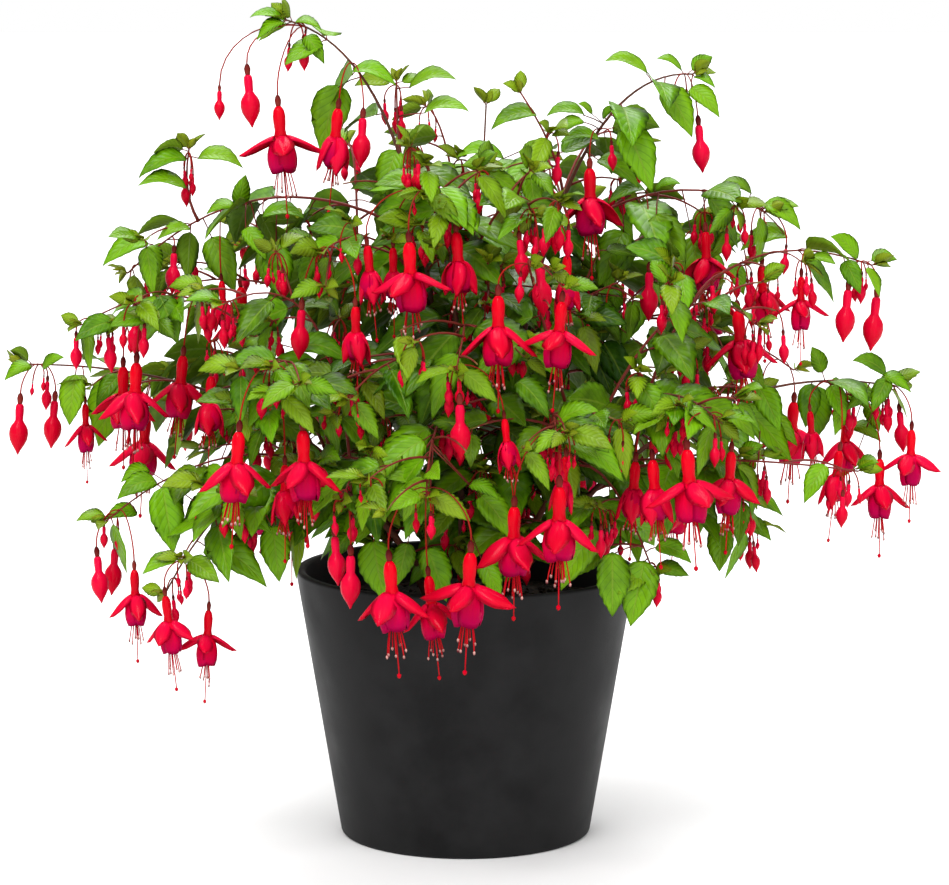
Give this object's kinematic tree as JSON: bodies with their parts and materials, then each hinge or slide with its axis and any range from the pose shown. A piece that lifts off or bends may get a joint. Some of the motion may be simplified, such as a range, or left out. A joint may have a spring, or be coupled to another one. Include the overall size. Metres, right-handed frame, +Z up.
{
  "type": "potted fuchsia",
  "caption": "Bushy fuchsia with arching leafy stems, hanging two-tone bell flowers and buds, planted in a plain tapered planter.",
  "frame": {"origin": "middle of the pot's flat underside", "axes": "+Z up along the pot's axis, -Y towards the front of the plant as pictured, +X to the viewer's right"},
  "size_m": [0.6905, 0.4915, 0.6156],
  "materials": {
    "pot": "matte charcoal, faintly mottled",
    "compost": "rough, dark, loose potting compost",
    "leaf": "slightly glossy green leaf on dark red-brown stems",
    "flower": "waxy crimson petal with a magenta-purple inner bell"
  },
  "bodies": {
    "root": {"pot": "pot", "compost": "compost", "flower_spray_01": "flower", "flower_spray_02": "flower", "flower_spray_03": "flower", "flower_spray_04": "flower", "flower_spray_05": "flower", "flower_spray_06": "flower", "flower_spray_07": "flower", "flower_spray_08": "flower", "flower_spray_09": "flower", "flower_spray_10": "flower", "flower_spray_11": "flower", "flower_spray_12": "flower", "flower_spray_13": "flower", "flower_spray_14": "flower", "flower_spray_15": "flower", "flower_spray_16": "flower", "flower_spray_17": "flower", "flower_spray_18": "flower", "flower_spray_19": "flower", "flower_spray_20": "flower", "flower_spray_21": "flower", "flower_spray_22": "flower", "flower_spray_23": "flower", "flower_spray_24": "flower", "flower_spray_25": "flower", "flower_spray_26": "flower", "flower_spray_27": "flower", "flower_spray_28": "flower", "flower_spray_29": "flower", "flower_spray_30": "flower", "flower_spray_31": "flower", "flower_spray_32": "flower", "flower_spray_33": "flower", "flower_spray_34": "flower", "flower_spray_35": "flower", "flower_spray_36": "flower", "flower_spray_37": "flower", "flower_spray_38": "flower", "flower_spray_39": "flower", "flower_spray_40": "flower", "flower_spray_41": "flower", "flower_spray_42": "flower", "leafy_stem_top_left": "leaf", "leafy_stem_top_right": "leaf", "leafy_stem_right": "leaf", "leafy_stem_left": "leaf", "leafy_stem_front_left": "leaf", "leafy_stem_front_right": "leaf", "leafy_stem_front": "leaf", "leafy_stem_back_left": "leaf", "leafy_stem_back_right": "leaf", "leafy_stem_back": "leaf", "leafy_stem_heart": "leaf"}
  },
  "joints": []
}
